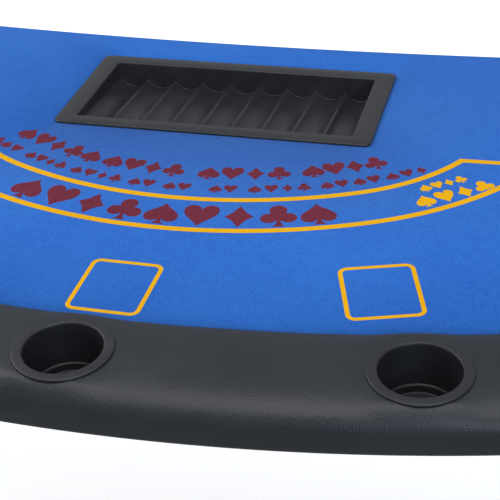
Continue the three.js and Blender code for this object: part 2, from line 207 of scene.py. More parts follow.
def subtract(piece, cutter, crossing=False):
    # cuts a bmesh out of a piece; crossing is for a cutter made of solids that overlap
    tool = fromMesh("cutter", cutter)
    cut = piece.modifiers.new("cut", "BOOLEAN")
    cut.object = tool
    cut.solver = "EXACT"
    cut.use_self = crossing
    bpy.context.view_layer.update()
    result = bake(piece)
    bpy.data.objects.remove(tool)
    return result


def joinPieces(name, pieces):
    mesh = bmesh.new()
    for piece in pieces:
        mesh.from_mesh(piece.data)
        bpy.data.objects.remove(piece)
    result = fromMesh(name, mesh)
    smooth(result)
    return result


def makePlate(name, loops, low, high, bevel=0.0, turn=None):
    # a flat plate between two heights, from its outline and the outlines of its holes
    curve = bpy.data.curves.new(name, "CURVE")
    curve.dimensions = "2D"
    curve.fill_mode = "BOTH"
    curve.extrude = (high - low) / 2 - bevel
    curve.bevel_depth = bevel
    curve.bevel_resolution = 2
    curve.offset = -bevel
    for loop in loops:
        spline = curve.splines.new("POLY")
        spline.points.add(len(loop) - 1)
        for point, place in zip(spline.points, loop):
            point.co = (place[0], place[1], 0, 1)
        spline.use_cyclic_u = True
    piece = addObject(name, curve)
    piece.matrix_world = (turn or Matrix()) @ Matrix.Translation((0, 0, (low + high) / 2))
    bpy.context.view_layer.update()
    result = bake(piece)
    recalculate(result)
    smooth(result)
    return result


def makeTurned(name, profile, centre, axis="Z", sides=64, closed=False, sharpAngle=35):
    # profile is (radius, height) pairs from the axis back to the axis, or a closed ring
    vertices = []
    faces = []
    rings = []
    for radius, height in profile:
        if radius < 1e-7:
            rings.append([len(vertices)])
            vertices.append(Vector((0, 0, height)))
            continue
        rings.append(list(range(len(vertices), len(vertices) + sides)))
        for i in range(sides):
            angle = 2 * math.pi * i / sides
            vertices.append(Vector((radius * math.cos(angle), radius * math.sin(angle), height)))
    pairs = list(zip(rings, rings[1:]))
    if closed:
        pairs.append((rings[-1], rings[0]))
    for first, second in pairs:
        for i in range(sides):
            j = (i + 1) % sides
            if len(first) == 1:
                faces.append((first[0], second[i], second[j]))
            elif len(second) == 1:
                faces.append((first[j], first[i], second[0]))
            else:
                faces.append((first[i], second[i], second[j], first[j]))
    quarters = {"Z": 0, "Y": -1, "-Y": 1}[axis]
    turn = Matrix.Rotation(quarters * math.pi / 2, 4, "X") if quarters else Matrix()
    move = Matrix.Translation(centre) @ turn
    piece = makePiece(name, [move @ v for v in vertices], faces, sharpAngle)
    recalculate(piece)
    smooth(piece, sharpAngle)
    return piece


def circleLoop(centre, radius, sides=48):
    angles = [2 * math.pi * i / sides for i in range(sides)]
    return [Vector((centre[0] + radius * math.cos(a), centre[1] + radius * math.sin(a))) for a in angles]


def middleOf(node):
    return tuple((a + b) / 2 for a, b in zip(*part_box(node)))


def roundedLoop(width, depth, radius, centre=(0, 0), steps=8):
    x = width / 2 - radius
    y = depth / 2 - radius
    points = []
    for quarter, (sx, sy) in enumerate(((1, 1), (-1, 1), (-1, -1), (1, -1))):
        corner = (centre[0] + sx * x, centre[1] + sy * y)
        points += arc(corner, radius, 90 * quarter, 90 * quarter + 90, steps)
    return points


def offsetLoop(loop, distance):
    # moves a closed loop sideways, to its left where distance is positive
    moved = []
    count = len(loop)
    for i, point in enumerate(loop):
        before = (point - loop[i - 1]).normalized()
        after = (loop[(i + 1) % count] - point).normalized()
        sideA = Vector((-before.y, before.x))
        sideB = Vector((-after.y, after.x))
        middle = (sideA + sideB).normalized()
        moved.append(point + middle * distance / max(0.3, middle.dot(sideA)))
    return moved


def keep(piece, body, slotName, material, *nodes):
    piece.data.materials.clear()
    piece.data.materials.append(material)
    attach(piece, body)
    if nodes:
        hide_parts(*nodes)
    return piece


# material helpers
def srgb(red, green, blue):
    return tuple(((c / 255 + 0.055) / 1.055) ** 2.4 if c > 10 else c / 255 / 12.92 for c in (red, green, blue)) + (1,)


def feed(socket, value):
    # joins an output to an input, or sets the input to a plain value
    if isinstance(value, bpy.types.NodeSocket):
        socket.id_data.links.new(value, socket)
    else:
        socket.default_value = value


def addNode(tree, kind, values=None, **settings):
    node = tree.nodes.new(kind)
    for key, value in settings.items():
        setattr(node, key, value)
    for key, value in (values or {}).items():
        feed(node.inputs[key], value)
    return node


def addMath(tree, operation, a, b=None, c=None):
    node = addNode(tree, "ShaderNodeMath", operation=operation)
    for socket, value in zip(node.inputs, (a, b, c)):
        if value is not None:
            feed(socket, value)
    return node.outputs[0]


def addWeighted(tree, *pairs):
    # the sum of outputs, each times its weight
    total = None
    for value, weight in pairs:
        share = addMath(tree, "MULTIPLY", value, weight)
        total = share if total is None else addMath(tree, "ADD", total, share)
    return total


def addMix(tree, factor, a, b):
    node = addNode(tree, "ShaderNodeMix", data_type="RGBA")
    for index, value in ((0, factor), (6, a), (7, b)):
        feed(node.inputs[index], value)
    return node.outputs[2]


def addNoise(tree, vector, scale, detail=2.0, roughness=0.5):
    values = {"Vector": vector, "Scale": scale, "Detail": detail, "Roughness": roughness}
    return addNode(tree, "ShaderNodeTexNoise", values).outputs["Fac"]


def stretch(tree, vector, scale):
    return addNode(tree, "ShaderNodeMapping", {"Vector": vector, "Scale": scale}).outputs[0]


def mapFrom(tree, value, low, high, kind="LINEAR"):
    values = {"Value": value, "From Min": low, "From Max": high}
    return addNode(tree, "ShaderNodeMapRange", values, interpolation_type=kind).outputs[0]


def mapTo(tree, value, low, high):
    return addNode(tree, "ShaderNodeMapRange", {"Value": value, "To Min": low, "To Max": high}).outputs[0]


def newGroup(kind, name, inputs, outputs):
    # inputs and outputs are (label, type) pairs
    tree = bpy.data.node_groups.new(name, kind)
    for way, sockets in (("INPUT", inputs), ("OUTPUT", outputs)):
        for label, socketType in sockets:
            tree.interface.new_socket(name=label, in_out=way, socket_type="NodeSocket" + socketType)
    return tree, tree.nodes.new("NodeGroupInput").outputs, tree.nodes.new("NodeGroupOutput").inputs


def shaderGroup(name, inputs, outputs):
    inputs = [("Vector", "Vector")] + [(label, "Float") for label in inputs]
    return newGroup("ShaderNodeTree", name, inputs, [(label, "Float") for label in outputs])


def napGroup():
    # short fibres: Shade lightens and darkens the dye, Height raises the fibres
    tree, source, result = shaderGroup("nap", ("Fibre", "Patch"), ("Shade", "Height"))
    vector, fibre, patch = source[:3]
    fine = addNoise(tree, vector, fibre, 3.0, 0.7)
    soft = addNoise(tree, vector, addMath(tree, "MULTIPLY", fibre, 0.16), 3.0, 0.6)
    cloudy = addNoise(tree, vector, patch, 3.0, 0.5)
    feed(result["Shade"], addWeighted(tree, (fine, 0.66), (soft, 0.14), (cloudy, 0.2)))
    feed(result["Height"], addMath(tree, "ADD", fine, soft))
    return tree


def grainGroup():
    # moulded or coated skin: pebbles of one size, with a finer noise between them; the second output is a painted
    # shade mask, darkest in the gaps between the pebbles
    tree, source, result = shaderGroup("grain", ("Cells", "Fine"), ("Height", "Valley"))
    vector, cells, fineShare = source[:3]
    halfCells = addMath(tree, "MULTIPLY", cells, 0.5)
    warp = addNode(tree, "ShaderNodeTexNoise", {"Vector": vector, "Scale": halfCells, "Detail": 2.0}).outputs["Color"]
    reach = addMath(tree, "DIVIDE", 0.7, cells)
    shift = addNode(tree, "ShaderNodeVectorMath", {0: warp, "Scale": reach}, operation="SCALE").outputs[0]
    moved = addNode(tree, "ShaderNodeVectorMath", {0: vector, 1: shift}, operation="ADD").outputs[0]
    cell = addNode(tree, "ShaderNodeTexVoronoi", {"Vector": moved, "Scale": cells}, feature="SMOOTH_F1")
    dome = addMath(tree, "SUBTRACT", 1.0, cell.outputs["Distance"])
    fine = addNoise(tree, vector, addMath(tree, "MULTIPLY", cells, 2.4), 2.0)
    height = addMath(tree, "ADD", dome, addMath(tree, "MULTIPLY", fine, fineShare))
    feed(result["Height"], height)
    # painted shade: near 1 in the gaps between pebbles, near 0 on their tops
    valleyShade = addMath(tree, "SMOOTH_MIN", addMath(tree, "MULTIPLY", cell.outputs["Distance"], 1.4), 1.0, 0.1)
    feed(result["Valley"], valleyShade)
    return tree


def wearGroup():
    # dust and handling: Mask is patchy smears, Scratch is sparse thin lines
    tree, source, result = shaderGroup("wear", ("Size",), ("Mask", "Scratch"))
    vector, size = source[:2]
    mask = mapFrom(tree, addNoise(tree, vector, size, 5.0, 0.6), 0.42, 0.75, "SMOOTHSTEP")
    feed(result["Mask"], mask)
    lines = addNoise(tree, stretch(tree, vector, (60.0, 900.0, 300.0)), 1.0, 1.0)
    feed(result["Scratch"], addMath(tree, "MULTIPLY", mapFrom(tree, lines, 0.70, 0.76), mask))
    return tree


groups = {"nap": napGroup(), "grain": grainGroup(), "wear": wearGroup()}


def newMaterial(name, constants=None):
    material = bpy.data.materials.new(name)
    material.use_nodes = True
    tree = material.node_tree
    shader = tree.nodes["Principled BSDF"]
    for key, value in (constants or {}).items():
        shader.inputs[key].default_value = value
    place = addNode(tree, "ShaderNodeTexCoord").outputs["Object"]
    return material, tree, shader, place


def useGroup(tree, name, vector, values):
    return addNode(tree, "ShaderNodeGroup", {"Vector": vector, **values}, node_tree=groups[name]).outputs


def addBump(tree, shader, height, distance, strength):
    bump = addNode(tree, "ShaderNodeBump", {"Height": height, "Distance": distance, "Strength": strength})
    feed(shader.inputs["Normal"], bump.outputs[0])


# materials
def dyedCloth(name, dark, light, sheen):
    material, tree, shader, place = newMaterial(name, {
        "Roughness": 0.95, "Sheen Weight": sheen, "Sheen Roughness": 0.5, "Specular IOR Level": 0.12})
    nap = useGroup(tree, "nap", place, {"Fibre": 520.0, "Patch": 4.0})
    spread = mapFrom(tree, nap["Shade"], 0.36, 0.64)
    feed(shader.inputs["Base Color"], addMix(tree, spread, dark, light))
    addBump(tree, shader, nap["Height"], 0.0002, 0.5)
    return material


def leatherette():
    # fine pebbled skin, with creases across the rail where it is pulled over the outer edge
    material, tree, shader, place = newMaterial("leatherette", {"IOR": 1.46})
    skin = addNode(tree, "ShaderNodeUVMap", uv_map="skin").outputs[0]
    across = addNode(tree, "ShaderNodeSeparateXYZ", {0: skin}).outputs["Y"]
    grain = useGroup(tree, "grain", skin, {"Cells": 560.0, "Fine": 0.4})
    creases = addNoise(tree, stretch(tree, skin, (520.0, 90.0, 1.0)), 1.0, 3.0, 0.6)
    onCurve = mapFrom(tree, across, 0.070, 0.105, "SMOOTHSTEP")
    folds = addMath(tree, "MULTIPLY", addMath(tree, "MULTIPLY", creases, onCurve), 0.35)
    height = addMath(tree, "ADD", grain["Height"], folds)
    wear = useGroup(tree, "wear", place, {"Size": 9.0})
    # painted shade: the colour is darker in the gaps between the grain's pebbles and lighter on their tops
    colour = addMix(tree, grain["Valley"], srgb(30, 33, 39), srgb(20, 22, 27))
    colour = addMix(tree, addMath(tree, "MULTIPLY", wear["Mask"], 0.35), colour, srgb(38, 41, 47))
    feed(shader.inputs["Base Color"], colour)
    feed(shader.inputs["Roughness"], mapTo(tree, wear["Mask"], 0.40, 0.50))
    addBump(tree, shader, height, 0.00036, 0.65)
    return material


def grained(name, grain, wearSize, colours, roughness, bump, constants=None, scratched=False):
    # a moulded or coated skin, paler and duller where it is handled
    material, tree, shader, place = newMaterial(name, constants)
    skin = useGroup(tree, "grain", place, {"Cells": grain[0], "Fine": grain[1]})
    wear = useGroup(tree, "wear", place, {"Size": wearSize})
    shade = addWeighted(tree, (wear["Mask"], 0.5), (wear["Scratch"], 0.5)) if scratched else wear["Mask"]
    feed(shader.inputs["Base Color"], addMix(tree, shade, *colours))
    feed(shader.inputs["Roughness"], mapTo(tree, wear["Mask"], *roughness))
    addBump(tree, shader, skin["Height"], *bump)
    return material


def mouldedPlastic(name, colour, roughness, cells):
    dusty = tuple(c * 1.5 + 0.004 for c in colour[:3]) + (1,)
    dull = (roughness, roughness + 0.12)
    return grained(name, (cells, 0.6), 14.0, (colour, dusty), dull, (0.00008, 0.5), {"IOR": 1.42}, True)


def plywood():
    material, tree, shader, place = newMaterial("plywood", {"Roughness": 0.62})
    rings = addNoise(tree, stretch(tree, place, (2.0, 34.0, 34.0)), 1.0, 5.0, 0.6)
    fibres = addNoise(tree, stretch(tree, place, (30.0, 900.0, 900.0)), 1.0, 3.0, 0.7)
    face = addMix(tree, rings, srgb(206, 176, 132), srgb(171, 134, 90))
    face = addMix(tree, addMath(tree, "MULTIPLY", fibres, 0.35), face, srgb(122, 88, 56))
    # the edges show the plies: the colour changes with height every 2.5 mm
    height = addNode(tree, "ShaderNodeSeparateXYZ", {0: place}).outputs["Z"]
    ply = addMath(tree, "GREATER_THAN", addMath(tree, "FRACT", addMath(tree, "MULTIPLY", height, 200.0)), 0.5)
    normal = addNode(tree, "ShaderNodeNewGeometry").outputs["Normal"]
    upward = addNode(tree, "ShaderNodeSeparateXYZ", {0: normal}).outputs["Z"]
    onEdge = addMath(tree, "LESS_THAN", addMath(tree, "ABSOLUTE", upward), 0.5)
    edge = addMix(tree, ply, srgb(196, 164, 118), srgb(128, 94, 60))
    feed(shader.inputs["Base Color"], addMix(tree, onEdge, face, edge))
    addBump(tree, shader, addMath(tree, "ADD", fibres, rings), 0.0003, 0.35)
    return material


def coatedSteel():
    colours = (srgb(28, 28, 30), srgb(40, 40, 42))
    coat = {"Metallic": 0.0, "IOR": 1.5, "Coat Weight": 0.25, "Coat Roughness": 0.3}
    return grained("blackSteel", (1400.0, 0.4), 20.0, colours, (0.36, 0.5), (0.00006, 0.5), coat)


def zincPlate():
    material, tree, shader, place = newMaterial("zinc", {"Metallic": 1.0})
    wear = useGroup(tree, "wear", place, {"Size": 60.0})
    brushed = addNoise(tree, stretch(tree, place, (300.0, 4000.0, 4000.0)), 1.0, 2.0)
    tone = addWeighted(tree, (wear["Mask"], 0.5), (brushed, 0.5))
    feed(shader.inputs["Base Color"], addMix(tree, tone, srgb(208, 209, 212), srgb(156, 158, 160)))
    feed(shader.inputs["Roughness"], mapTo(tree, tone, 0.24, 0.46))
    addBump(tree, shader, brushed, 0.00004, 0.4)
    return material


def mouldedRubber():
    colours = (srgb(26, 26, 27), srgb(52, 51, 49))
    return grained("rubber", (700.0, 0.7), 30.0, colours, (0.7, 0.88), (0.00015, 0.6))


materials = {
    "cloth": dyedCloth("blueCloth", srgb(31, 81, 166), srgb(52, 113, 192), 0.03),
    "yellowInk": dyedCloth("yellowInk", srgb(202, 144, 4), srgb(230, 174, 15), 0.0),
    "redInk": dyedCloth("redInk", srgb(84, 28, 44), srgb(116, 46, 60), 0.0),
    "foam": dyedCloth("paleFoam", srgb(196, 188, 160), srgb(226, 220, 200), 0.0),
    "leatherette": leatherette(),
    "tray": mouldedPlastic("trayPlastic", srgb(36, 36, 39), 0.30, 1500.0),
    "cup": mouldedPlastic("cupPlastic", srgb(30, 31, 34), 0.42, 1700.0),
    "plywood": plywood(),
    "blackSteel": coatedSteel(),
    "zinc": zincPlate(),
    "rubber": mouldedRubber(),
}
print("materials made")


# the cloth
cloth = {"thickness": 1.6 * mm, "edgeRadius": 4 * mm, "foldUnder": 32 * mm, "wrap": 1.9 * mm, "under": 1.9 * mm,
         "endRise": 0.055, "overEdge": 0.03, "tuck": 1 * mm}
hole = {"width": 0.370, "depth": 0.168, "corner": 0.004}
trayHole = roundedLoop(hole["width"], hole["depth"], hole["corner"], (0, trayY))


def fillBetween(outer, holes, height):
    mesh = bmesh.new()
    edges = []
    for loop in (outer, *holes):
        ring = [mesh.verts.new((p[0], p[1], height)) for p in loop]
        edges += [mesh.edges.new((ring[i - 1], ring[i])) for i in range(len(ring))]
    bmesh.ops.triangle_fill(mesh, use_beauty=True, edges=edges)
    return mesh


def makeCloth(size):
    side = plan["halfWidth"] - plan["railWidth"] + size["tuck"]
    steps = 96
    xs = [side * (1 - 2 * i / steps) for i in range(steps + 1)]
    front = [frontPoint(a, plan["railWidth"] - size["tuck"]) for a in frontAngles(0.012)]
    back = [Vector((x, dealerY(x) + size["wrap"] - size["edgeRadius"])) for x in xs]
    mesh = fillBetween(front + back, [trayHole], clothTop)
    # the dealer's edge: over a rounded corner, down, and folded under the board
    section = [(0.0, 0.0)]
    for angle in (22.5, 45, 67.5, 90):
        turn = math.radians(angle)
        section.append((size["edgeRadius"] * math.sin(turn), size["edgeRadius"] * (math.cos(turn) - 1)))
    lowest = boardLow[2] - size["under"] - clothTop
    section += [(size["edgeRadius"], lowest + 2 * mm), (size["edgeRadius"] - 0.6 * mm, lowest + 0.6 * mm)]
    section += [(size["edgeRadius"] - 2 * mm, lowest), (size["edgeRadius"] - size["foldUnder"], lowest)]
    rows = []
    for out, drop in section:
        rows.append([mesh.verts.new((p[0], p[1] + out, clothTop + drop)) for p in back])
    for above, below in zip(rows, rows[1:]):
        for face in stitch(above, below, False):
            mesh.faces.new(face)
    bmesh.ops.remove_doubles(mesh, verts=mesh.verts, dist=1e-6)
    faceUp(mesh)
    area = sum(f.calc_area() for f in mesh.faces)
    piece = fromMesh("cloth_layout", mesh)
    smooth(piece, 50)
    solidify = piece.modifiers.new("thickness", "SOLIDIFY")
    solidify.thickness = size["thickness"] - 0.1 * mm
    solidify.offset = -1
    keep(piece, top, "cloth", materials["cloth"], "felt_layout")
    # laid flat: from the front's middle to the dealer's corners, down over the edge and folded under
    depth = plan["dealerMiddle"] + size["endRise"] - frontPoint(0, plan["railWidth"]).y + size["foldUnder"]
    depth += size["overEdge"]
    print("cloth made, flat", round(2 * side, 3), "by", round(depth, 3), "area", round(area, 3))


makeCloth(cloth)


# the print on the cloth
ink = {"thickness": 0.15 * mm, "line": 8.2 * mm, "boxLine": 4.8 * mm}
layout = {"centre": trayY + 0.267, "inner": 0.5200, "outer": 0.5850, "innerCurl": 0.09 * mm, "outerCurl": 0.052 * mm,
          "curlFrom": 24.0, "endInner": 39.9, "endOuter": 47.2}
boxes = {"centre": trayY + 0.480, "radius": 0.915, "spacing": 17.26, "count": 7, "width": 76 * mm, "depth": 88 * mm}
# each row: its middle radius, pip size, ink, and the groups of pips as (first angle, last angle, count)
rows = {
    "upper": {"radius": 0.4600, "size": 29 * mm, "ink": "redInk",
              "groups": ((-29.3, -15.6, 5), (-11.6, -1.6, 4), (3.8, 14.2, 4), (19.2, 28.6, 4))},
    "lower": {"radius": 0.4955, "size": 17 * mm, "ink": "redInk",
              "groups": ((-37.2, -27.2, 6), (-23.8, -18.1, 4), (-15.2, -8.9, 4), (-5.9, -3.9, 2), (-0.8, 1.2, 2),
                         (5.6, 7.6, 2), (10.9, 17.5, 4), (20.6, 22.6, 2), (25.0, 27.0, 2), (29.6, 33.8, 3))},
    "band": {"radius": 0.5555, "size": 44 * mm, "ink": "redInk", "groups": ((-17.9, 18.6, 9),)},
    "smallRight": {"radius": 0.5340, "size": 15.5 * mm, "ink": "yellowInk", "groups": ((32.4, 37.2, 4),)},
    "largeRight": {"radius": 0.5600, "size": 25 * mm, "ink": "yellowInk", "groups": ((31.2, 38.8, 4),)},
    "smallLeft": {"radius": 0.5340, "size": 15.5 * mm, "ink": "yellowInk", "groups": ((-37.2, -32.4, 4),)},
    "largeLeft": {"radius": 0.5600, "size": 25 * mm, "ink": "yellowInk", "groups": ((-38.8, -31.2, 4),)},
}


def mirrored(half):
    # half runs from top to bottom on the right
    return half + [Vector((-p.x, p.y)) for p in reversed(half) if abs(p.x) > 1e-6]


def pipOutlines():
    diamond = [Vector((0, 0.5)), Vector((0.17, 0.2)), Vector((0.37, 0)), Vector((0.17, -0.2)), Vector((0, -0.5))]
    heart = [Vector((0, 0.27))] + cubic((0, 0.27), (0.03, 0.42), (0.12, 0.5), (0.23, 0.5), 8)[1:]
    heart += cubic((0.23, 0.5), (0.38, 0.5), (0.47, 0.38), (0.46, 0.22), 8)
    heart += cubic((0.46, 0.22), (0.45, -0.06), (0.10, -0.24), (0, -0.5), 10) + [Vector((0, -0.5))]
    stem = cubic((0.05, -0.24), (0.06, -0.38), (0.10, -0.46), (0.18, -0.5), 5)
    stem += [Vector((0.18, -0.5)), Vector((0, -0.5))]
    spade = cubic((0, 0.5), (0.06, 0.26), (0.46, 0.12), (0.46, -0.14), 10)
    spade += cubic((0.46, -0.14), (0.46, -0.30), (0.34, -0.38), (0.24, -0.38), 6)
    spade += cubic((0.24, -0.38), (0.14, -0.38), (0.07, -0.32), (0.05, -0.24), 4) + stem
    club = arc((0, 0.27), 0.23, 90, -28, 10) + arc((0.25, -0.10), 0.22, 105, -150, 18) + stem
    return {"spade": mirrored(spade), "heart": mirrored(heart), "diamond": mirrored(diamond), "club": mirrored(club)}


def makeFlat(name, loops):
    # a single flat layer, facing up, for the row maker to copy
    mesh = fillBetween(loops[0], loops[1:], 0)
    for face in mesh.faces:
        if face.normal.z < 0:
            face.normal_flip()
    return fromMesh(name, mesh)


def modifierGroup(name, sockets):
    geometry = [("Geometry", "Geometry")]
    tree, source, result = newGroup("GeometryNodeTree", name, sockets + [("Material", "Material")], geometry)
    tree.is_modifier = True
    return tree, source, result[0]


def finishCopies(tree, copies, material, result, thickness=None):
    # makes the copies real, thickens them where asked, and gives them their material
    solid = addNode(tree, "GeometryNodeRealizeInstances", {0: copies.outputs[0]}).outputs[0]
    if thickness:
        values = {"Mesh": solid, "Offset Scale": thickness}
        solid = addNode(tree, "GeometryNodeExtrudeMesh", {**values, "Individual": False}).outputs["Mesh"]
    feed(result, addNode(tree, "GeometryNodeSetMaterial", {"Geometry": solid, "Material": material}).outputs[0])
    return tree


def runGroup(piece, tree, values):
    modifier = piece.modifiers.new("copies", "NODES")
    modifier.node_group = tree
    sockets = {item.name: item.identifier for item in tree.interface.items_tree if item.in_out == "INPUT"}
    for label, value in values.items():
        modifier[sockets[label]] = value
    bpy.context.view_layer.update()
    return bake(piece)


def rowTree():
    # copies four shapes in turn along an arc, turned to face its centre
    sockets = [("Count", "Int")]
    sockets += [(label, "Float") for label in ("Radius", "Centre", "Height", "First", "Last", "Size", "Thickness")]
    sockets += [("Shape " + letter, "Object") for letter in "ABCD"]
    tree, source, result = modifierGroup("rowOnArc", sockets)
    index = addNode(tree, "GeometryNodeInputIndex").outputs[0]
    share = addMath(tree, "DIVIDE", index, addMath(tree, "MAXIMUM", addMath(tree, "SUBTRACT", source["Count"], 1), 1))
    span = addMath(tree, "SUBTRACT", source["Last"], source["First"])
    angle = addMath(tree, "RADIANS", addMath(tree, "ADD", source["First"], addMath(tree, "MULTIPLY", span, share)))
    across = addMath(tree, "MULTIPLY", source["Radius"], addMath(tree, "SINE", angle))
    back = addMath(tree, "MULTIPLY", source["Radius"], addMath(tree, "COSINE", angle))
    back = addMath(tree, "SUBTRACT", source["Centre"], back)
    place = addNode(tree, "ShaderNodeCombineXYZ", {"X": across, "Y": back, "Z": source["Height"]}).outputs[0]
    turn = addNode(tree, "ShaderNodeCombineXYZ", {"Z": angle}).outputs[0]
    points = addNode(tree, "GeometryNodePoints", {"Count": source["Count"], "Position": place}).outputs[0]
    shapes = addNode(tree, "GeometryNodeJoinGeometry")
    for letter in "DCBA":
        values = {"As Instance": True, "Object": source["Shape " + letter]}
        feed(shapes.inputs[0], addNode(tree, "GeometryNodeObjectInfo", values).outputs["Geometry"])
    values = {"Pick Instance": True, "Points": points, "Instance": shapes.outputs[0], "Rotation": turn,
              "Instance Index": addMath(tree, "MODULO", index, 4), "Scale": source["Size"]}
    copies = addNode(tree, "GeometryNodeInstanceOnPoints", values)
    return finishCopies(tree, copies, source["Material"], result, source["Thickness"])


rowMaker = rowTree()


def makeRow(name, shapes, inkName, groups, values):
    parts = []
    for first, last, count in groups:
        piece = addObject(name, bpy.data.meshes.new(name))
        values.update({"Height": clothTop, "Thickness": ink["thickness"], "Material": materials[inkName]})
        values.update({"First": first, "Last": last, "Count": count})
        values.update({"Shape " + letter: shape for letter, shape in zip("ABCD", shapes)})
        parts.append(runGroup(piece, rowMaker, values))
    keep(joinPieces(name, parts), top, "cloth", materials[inkName])


def bandRadius(angle, radius, curl):
    return radius - curl * max(0, abs(angle) - layout["curlFrom"]) ** 2


def bandLoop():
    # out along the players' side of the band, back along the dealer's side, with square ends
    loop = []
    for radius, curl, end, way in (("outer", "outerCurl", "endOuter", 1), ("inner", "innerCurl", "endInner", -1)):
        for i in range(101):
            angle = way * layout[end] * (i / 50 - 1)
            reach = bandRadius(angle, layout[radius], layout[curl])
            turn = math.radians(angle)
            loop.append(Vector((reach * math.sin(turn), layout["centre"] - reach * math.cos(turn))))
    return loop


def makePrint():
    band = bandLoop()
    loops = [offsetLoop(band, -ink["line"] / 2), offsetLoop(band, ink["line"] / 2)]
    keep(makePlate("band_line", loops, clothTop, clothTop + ink["thickness"]), top, "cloth", materials["yellowInk"])
    pips = [makeFlat("pip_" + name, [outline]) for name, outline in pipOutlines().items()]
    frameLoop = roundedLoop(boxes["width"], boxes["depth"], 8 * mm)
    box = makeFlat("box_outline", [offsetLoop(frameLoop, way * ink["boxLine"] / 2) for way in (-1, 1)])
    spread = boxes["spacing"] * (boxes["count"] - 1) / 2
    makeRow("betting_boxes", [box] * 4, "yellowInk", ((-spread, spread, boxes["count"]),),
            {"Radius": boxes["radius"], "Centre": boxes["centre"], "Size": 1.0})
    for name, row in rows.items():
        makeRow("pips_" + name, pips, row["ink"], row["groups"],
                {"Radius": row["radius"], "Centre": layout["centre"], "Size": row["size"]})
    for piece in pips + [box]:
        bpy.data.objects.remove(piece)
    print("print made")


makePrint()


# the padded rail
rail = {"endCap": 10 * mm, "endRound": 8 * mm, "side": 11.7 * mm, "hem": 40 * mm, "cupHole": 42 * mm, "step": 0.009,
        "swell": 0.45 * mm, "lift": 3.6 * mm, "seatSpread": 27 * mm, "topBelow": 9 * mm, "topBlend": 17 * mm}
cups = [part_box(f"cup_holder_{i + 1}") for i in range(7)]
cupPlaces = [Vector(middleOf(f"cup_holder_{i + 1}")[:2]) for i in range(7)]
flangeRadius = (cups[0][1][0] - cups[0][0][0]) / 2
cupTop = cups[0][1][2]
flangeUnder = cupTop - 1.7 * mm


def railSkin():
    # from the cloth over the crown, round the shoulder and down the outer face, as (inset, height over the cloth)
    skin = cubic((130, -1), (130.6, 5.5), (125, 11), (110, 13), 10)
    skin += cubic((110, 13), (97, 14.6), (82, 15.2), (66, 14.8), 10)
    skin += cubic((66, 14.8), (33, 15.0), (2, 13.3), (0.2, -12), 26)
    skin += [Vector((0, -16))]
    skin += cubic((0, -16), (0, -20), (0.4, -25), (0.5, -28), 5)
    skin += cubic((0.5, -28), (0.6, -31), (2, -34), (6, -34), 6) + [Vector((6, -34))]
    return [p * mm for p in skin]


def sweepRail(name, section, stations):
    # carries the section along the stations; the map unrolls the skin, in metres
    lengths = [0.0]
    for first, second in zip(section, section[1:]):
        lengths.append(lengths[-1] + (second - first).length)
    crown = [place(plan["railWidth"] / 2) for place in stations]
    along = [0.0]
    for first, second in zip(crown, crown[1:]):
        along.append(along[-1] + (second - first).length)
    rows = [[Vector((*place(point.x), clothTop + point.y)) for point in section] for place in stations]
    piece = loft(name, rows)
    layer = piece.data.uv_layers.new(name="skin")
    for loop in piece.data.loops:
        i, j = divmod(loop.vertex_index, len(section))
        layer.data[loop.index].uv = (along[i], lengths[j])
    return piece


def flatten(piece):
    # the skin meets the underside of each cup's flange all round and swells a little away from it
    for vertex in piece.data.vertices:
        if vertex.co.z < clothTop - 30 * mm:
            continue
        near = min((Vector(vertex.co[:2]) - place).length for place in cupPlaces)
        away = min(1.0, max(0.0, (near - flangeRadius + 1 * mm) / rail["seatSpread"]))
        eased = away * away * (3 - 2 * away)
        onTop = min(1.0, max(0.0, (vertex.co.z - clothTop + rail["topBelow"]) / rail["topBlend"]))
        seat = min(flangeUnder - 0.6 * mm - vertex.co.z, rail["lift"]) * (1 - eased) * onTop
        slack = noise.noise(vertex.co * 11) + 0.5 * noise.noise(vertex.co * 29)
        vertex.co.z += slack * rail["swell"] * eased + seat
    piece.data.update()


def subtractCylinders(piece, places, radius, low, high):
    cutter = bmesh.new()
    for place in places:
        matrix = Matrix.Translation((place.x, place.y, (low + high) / 2))
        bmesh.ops.create_cone(cutter, cap_ends=True, segments=96, radius1=radius, radius2=radius, depth=high - low,
                              matrix=matrix)
    return subtract(piece, cutter)


def sideStation(side, y):
    return lambda inset: Vector((side * (plan["halfWidth"] - inset), y))


def frontStation(angle):
    return lambda inset: frontPoint(angle, inset)


def makeRail(size):
    skin = railSkin()
    boardTop = boardHigh[2] + 0.3 * mm - clothTop
    hemTop = baseLow[2] - 0.7 * mm - clothTop
    turns = [(size["hem"], skin[-1].y), (size["hem"], hemTop), (size["side"], hemTop), (size["side"], boardTop),
             (plan["railWidth"], boardTop)]
    section = skin + [Vector(p) for p in turns]
    endY = plan["halfDepth"] - size["endCap"]
    straight = endY - plan["cornerY"]
    count = round(straight / size["step"])
    ys = [endY - straight * i / count for i in range(count)]
    stations = [sideStation(-1, y) for y in ys] + [frontStation(a) for a in frontAngles(size["step"])]
    stations += [sideStation(1, y) for y in reversed(ys)]
    pad = sweepRail("rail_pad_skin", section, stations)
    flatten(pad)
    recalculate(pad)
    pad = subtractCylinders(pad, cupPlaces, size["cupHole"], railLow[2] - 0.05, cupTop + 0.05)
    smooth(pad, 40)
    keep(pad, top, "leatherette", materials["leatherette"], "rail_pad")
    makeRailEnds(size, skin, endY)
    print("rail made")


